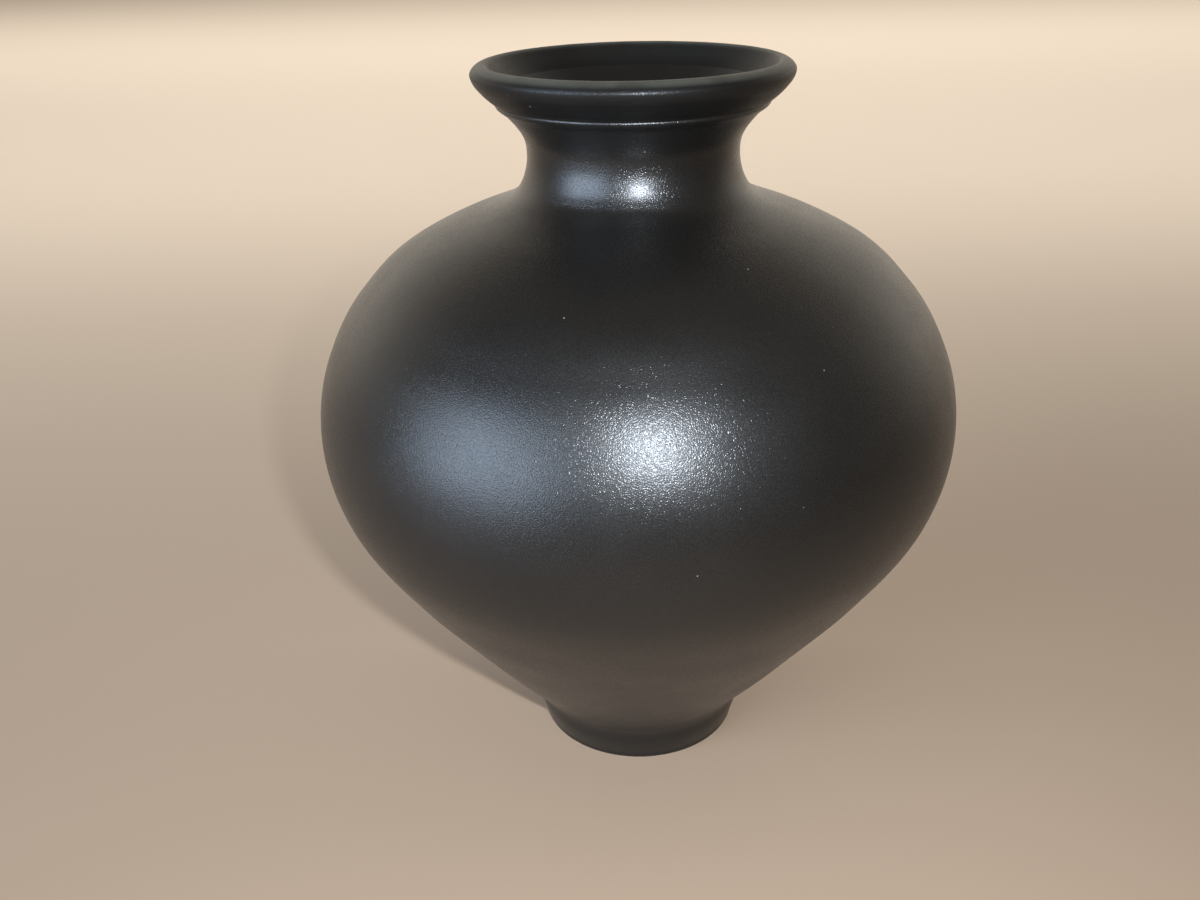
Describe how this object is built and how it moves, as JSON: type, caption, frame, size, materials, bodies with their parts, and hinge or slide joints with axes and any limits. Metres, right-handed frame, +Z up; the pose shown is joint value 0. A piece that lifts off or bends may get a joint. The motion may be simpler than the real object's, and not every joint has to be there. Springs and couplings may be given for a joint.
{
  "type": "black clay pot",
  "caption": "Wide-bellied black clay pot with a tapered foot, short waisted neck and flared mouth with a thickened, rounded lip.",
  "frame": {"origin": "centre of the foot, on the surface that the pot stands on", "axes": "+Z up along the pot's axis, towards the mouth; the pot is turned, so X and Y are alike"},
  "size_m": [0.2672, 0.2672, 0.3],
  "materials": {
    "black_skin": "satin, fine orange peel",
    "lip_skin": "satin, matt on top of the lip",
    "bare_clay": "matt",
    "slip_layer": "matt"
  },
  "bodies": {
    "root": {"base_slab": "bare_clay", "base_slip": "slip_layer", "base_fillet_coil": "bare_clay", "foot_wall": "black_skin", "foot_slip": "slip_layer", "lower_wall": "black_skin", "lower_belly_slip": "slip_layer", "belly_wall": "black_skin", "upper_belly_slip": "slip_layer", "shoulder_wall": "black_skin", "neck_slip": "slip_layer", "neck_collar": "black_skin", "rim_slip": "slip_layer", "rim_coil": "lip_skin"}
  },
  "joints": []
}
